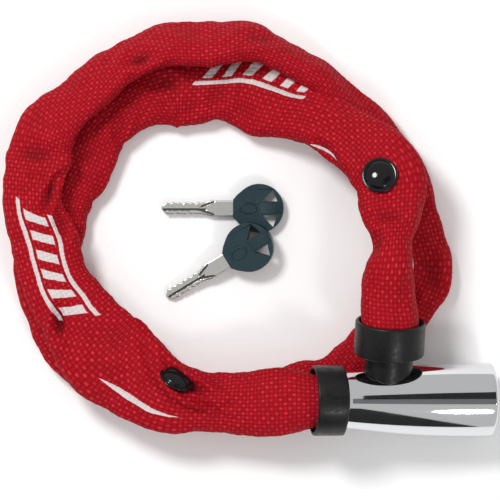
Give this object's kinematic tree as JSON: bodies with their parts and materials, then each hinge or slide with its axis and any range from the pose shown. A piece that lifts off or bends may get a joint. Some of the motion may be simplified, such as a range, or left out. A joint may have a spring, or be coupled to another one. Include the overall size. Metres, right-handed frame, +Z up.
{
  "type": "chain lock",
  "caption": "Bicycle chain lock: a long-link chain in a woven fabric sleeve, wound in a loop and closed by a chromed barrel with a sliding locking pin, with its loose keys.",
  "frame": {"origin": "on the ground, in the middle of the footprint of the wound lock", "axes": "+Z up; +X towards the barrel's key end, the longest side of the footprint; +Y from the barrel towards the far side of the loop"},
  "size_m": [0.24, 0.2032, 0.0551],
  "materials": {
    "chrome": "polished chrome plate",
    "zinc": "die-cast zinc, satin",
    "brass": "machined",
    "steel": "zinc-plated steel",
    "black_plastic": "satin black moulded plastic",
    "gloss_black": "glossy black enamel",
    "red_fabric": "coarse red basket weave with a white print",
    "nickel": "nickel-plated, satin",
    "key_plastic": "dark petrol-blue moulded plastic, satin"
  },
  "bodies": {
    "base": {"barrel_shell": "chrome", "lock_core": "zinc", "anchor_pin": "steel", "barrel_collar": "black_plastic", "end_bezel": "black_plastic", "pin_seat_ring": "chrome", "sleeve_bend_1": "red_fabric", "sleeve_bend_2": "red_fabric", "sleeve_bend_3": "red_fabric", "sleeve_bend_4": "red_fabric", "sleeve_outer_right": "red_fabric", "sleeve_inner_right": "red_fabric", "sleeve_pin_end": "red_fabric", "snap_cap_1": "gloss_black", "snap_base_1": "gloss_black", "chain_link_01": "steel", "chain_link_10": "steel", "chain_link_11": "steel", "chain_link_12": "steel", "chain_link_13": "steel", "chain_link_14": "steel", "chain_link_15": "steel", "chain_link_16": "steel", "chain_link_24": "steel", "chain_link_25": "steel", "chain_link_26": "steel"},
    "loop_left": {"sleeve_outer_left": "red_fabric", "sleeve_inner_left": "red_fabric", "snap_cap_2": "gloss_black", "snap_base_2": "gloss_black", "chain_link_02": "steel", "chain_link_03": "steel", "chain_link_04": "steel", "chain_link_05": "steel", "chain_link_06": "steel", "chain_link_07": "steel", "chain_link_08": "steel", "chain_link_09": "steel", "chain_link_17": "steel", "chain_link_18": "steel", "chain_link_19": "steel", "chain_link_20": "steel", "chain_link_21": "steel", "chain_link_22": "steel", "chain_link_23": "steel"},
    "plug": {"cylinder_plug": "brass", "drive_cam": "steel"},
    "wafer_1": {"wafer_1": "brass"},
    "wafer_2": {"wafer_2": "brass"},
    "wafer_3": {"wafer_3": "brass"},
    "wafer_4": {"wafer_4": "brass"},
    "latch": {"latch": "steel"},
    "pin": {"locking_pin": "chrome", "pin_collar": "black_plastic", "pin_cross_pin": "steel", "chain_link_27": "steel"},
    "key_1": {"key_1_blade": "nickel", "key_1_head": "key_plastic"},
    "key_2": {"key_2_blade": "nickel", "key_2_head": "key_plastic"}
  },
  "joints": [
    {"name": "loop_fold", "type": "hinge", "parent": "base", "child": "loop_left", "pos_m": [0.003, 0, 0.011], "axis": [0, 1, 0], "range_deg": [0, 20], "deforming": ["sleeve_bend_1", "sleeve_bend_2", "sleeve_bend_3", "sleeve_bend_4"]},
    {"name": "plug_turn", "type": "hinge", "parent": "base", "child": "plug", "pos_m": [0.0455, -0.0833, 0.0295], "axis": [0.9869, 0, -0.1616], "range_deg": [-90, 0]},
    {"name": "latch_slide", "type": "slide", "parent": "base", "child": "latch", "axis": [0.9869, 0, -0.1616], "range_m": [-0.0024, 0]},
    {"name": "pin_release", "type": "slide", "parent": "base", "child": "pin", "axis": [0.0418, 0.9659, 0.2554], "range_m": [0, 0.019], "deforming": ["sleeve_pin_end"]},
    {"name": "key_1_lift", "type": "slide", "parent": "base", "child": "key_1", "axis": [0, 0, 1], "range_m": [0, 0.04]},
    {"name": "key_2_lift", "type": "slide", "parent": "key_1", "child": "key_2", "axis": [0, 0, 1], "range_m": [0, 0.04]},
    {"name": "wafer_1_slide", "type": "slide", "parent": "plug", "child": "wafer_1", "axis": [-0.1616, 0, -0.9869], "range_m": [0, 0.0009], "stiffness_N_per_m": 60},
    {"name": "wafer_2_slide", "type": "slide", "parent": "plug", "child": "wafer_2", "axis": [-0.1616, 0, -0.9869], "range_m": [0, 0.0009], "stiffness_N_per_m": 60},
    {"name": "wafer_3_slide", "type": "slide", "parent": "plug", "child": "wafer_3", "axis": [-0.1616, 0, -0.9869], "range_m": [0, 0.0009], "stiffness_N_per_m": 60},
    {"name": "wafer_4_slide", "type": "slide", "parent": "plug", "child": "wafer_4", "axis": [-0.1616, 0, -0.9869], "range_m": [0, 0.0009], "stiffness_N_per_m": 60}
  ],
  "couplings": [
    {"joint": "latch_slide", "follows": "plug_turn", "m_per_rad": 0.0015279}
  ]
}
